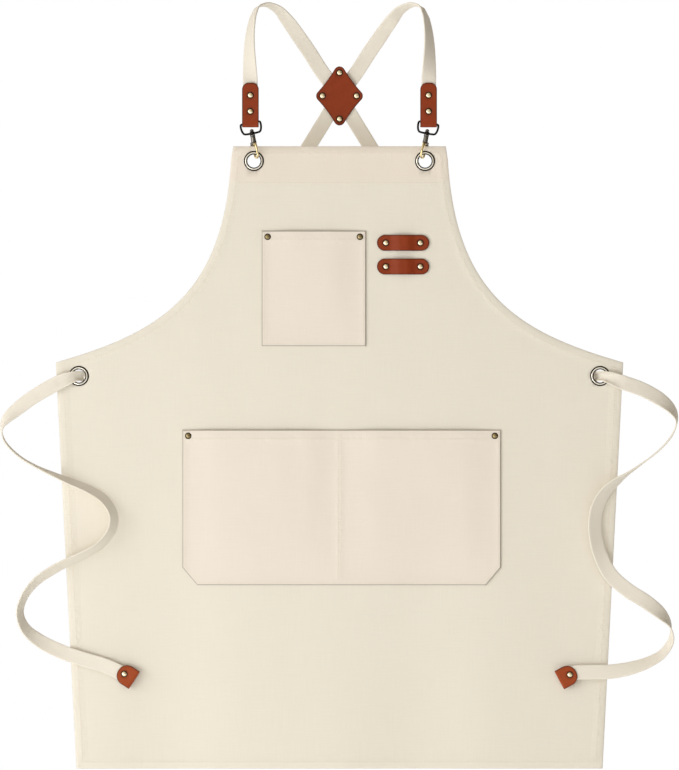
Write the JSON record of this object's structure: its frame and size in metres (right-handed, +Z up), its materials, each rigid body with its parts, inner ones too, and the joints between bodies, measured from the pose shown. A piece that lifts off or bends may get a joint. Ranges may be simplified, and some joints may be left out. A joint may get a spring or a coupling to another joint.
{
  "type": "cross-back apron",
  "caption": "Canvas bib apron hanging by crossed webbing straps, with snap hooks in eyelets, patch pockets, leather tool loops and free waist ties.",
  "frame": {"origin": "midway between the two strap crowns, level with their undersides, in the plane of the panel's front face", "axes": "+Z up as it hangs, the front faces -Y, +X to the right as seen from the front"},
  "size_m": [0.8276, 0.0868, 0.936],
  "materials": {
    "canvas": "natural cotton canvas, matt, plain weave",
    "webbing": "cream cotton webbing, matt, fine ribs",
    "leather": "chestnut leather, satin, burnished edges",
    "tip_leather": "tan leather, satin, burnished edges",
    "rivet_brass": "antique brass, polished domes with dark rims",
    "eyelet": "antique bronze, polished, dark edges",
    "gunmetal": "gunmetal plating, satin",
    "gilt": "pale brass, polished"
  },
  "bodies": {
    "apron": {"back_strap_left": "webbing", "back_strap_right": "webbing", "bib_facing": "canvas", "bib_grommet_left": "eyelet", "bib_grommet_right": "eyelet", "bib_washer_left": "eyelet", "bib_washer_right": "eyelet", "chest_pocket": "canvas", "chest_pocket_rivet_left": "rivet_brass", "chest_pocket_rivet_right": "rivet_brass", "cross_patch_back": "leather", "cross_patch_front": "leather", "cross_patch_rivet_bottom": "rivet_brass", "cross_patch_rivet_left": "rivet_brass", "cross_patch_rivet_right": "rivet_brass", "cross_patch_rivet_top": "rivet_brass", "hook_tab_left": "leather", "hook_tab_right": "leather", "hook_tab_rivet_lower_left": "rivet_brass", "hook_tab_rivet_lower_right": "rivet_brass", "hook_tab_rivet_upper_left": "rivet_brass", "hook_tab_rivet_upper_right": "rivet_brass", "panel": "canvas", "shoulder_strap_left": "webbing", "shoulder_strap_right": "webbing", "tie_tip_left": "tip_leather", "tie_tip_right": "tip_leather", "tie_tip_rivet_left": "rivet_brass", "tie_tip_rivet_right": "rivet_brass", "tool_loop_lower": "leather", "tool_loop_lower_rivet_left": "rivet_brass", "tool_loop_lower_rivet_right": "rivet_brass", "tool_loop_upper": "leather", "tool_loop_upper_rivet_left": "rivet_brass", "tool_loop_upper_rivet_right": "rivet_brass", "waist_grommet_left": "eyelet", "waist_grommet_right": "eyelet", "waist_pocket": "canvas", "waist_pocket_rivet_left": "rivet_brass", "waist_pocket_rivet_right": "rivet_brass", "waist_tie_left": "webbing", "waist_tie_right": "webbing", "waist_washer_left": "eyelet", "waist_washer_right": "eyelet"},
    "eye_left": {"hook_eye_left": "gunmetal"},
    "hook_left": {"snap_hook_left": "gunmetal", "gate_pin_left": "gunmetal", "gate_spring_left": "gunmetal"},
    "gate_left": {"hook_gate_left": "gilt"},
    "eye_right": {"hook_eye_right": "gunmetal"},
    "hook_right": {"snap_hook_right": "gunmetal", "gate_pin_right": "gunmetal", "gate_spring_right": "gunmetal"},
    "gate_right": {"hook_gate_right": "gilt"}
  },
  "joints": [
    {"name": "eye_swing_left", "type": "hinge", "parent": "apron", "child": "eye_left", "pos_m": [-0.1089, 0.00095, -0.1378], "axis": [0.9826, 0, 0.1857], "range_deg": [-2, 2]},
    {"name": "hook_swivel_left", "type": "hinge", "parent": "eye_left", "child": "hook_left", "pos_m": [-0.1089, 0.00095, -0.1378], "axis": [-0.1857, 0, 0.9826], "range_deg": [-16, 8]},
    {"name": "gate_open_left", "type": "hinge", "parent": "hook_left", "child": "gate_left", "pos_m": [-0.10516, 0.00614, -0.16559], "axis": [-0.9445, -0.2756, -0.1785], "range_deg": [0, 18], "stiffness_Nm_per_rad": 0.0005, "springref_deg": -22.92},
    {"name": "eye_swing_right", "type": "hinge", "parent": "apron", "child": "eye_right", "pos_m": [0.1089, 0.00095, -0.1378], "axis": [0.9826, 0, -0.1857], "range_deg": [-2, 2]},
    {"name": "hook_swivel_right", "type": "hinge", "parent": "eye_right", "child": "hook_right", "pos_m": [0.1089, 0.00095, -0.1378], "axis": [-0.1857, 0, -0.9826], "range_deg": [-16, 8]},
    {"name": "gate_open_right", "type": "hinge", "parent": "hook_right", "child": "gate_right", "pos_m": [0.10516, 0.00614, -0.16559], "axis": [-0.9445, 0.2756, 0.1785], "range_deg": [0, 18], "stiffness_Nm_per_rad": 0.0005, "springref_deg": -22.92}
  ]
}
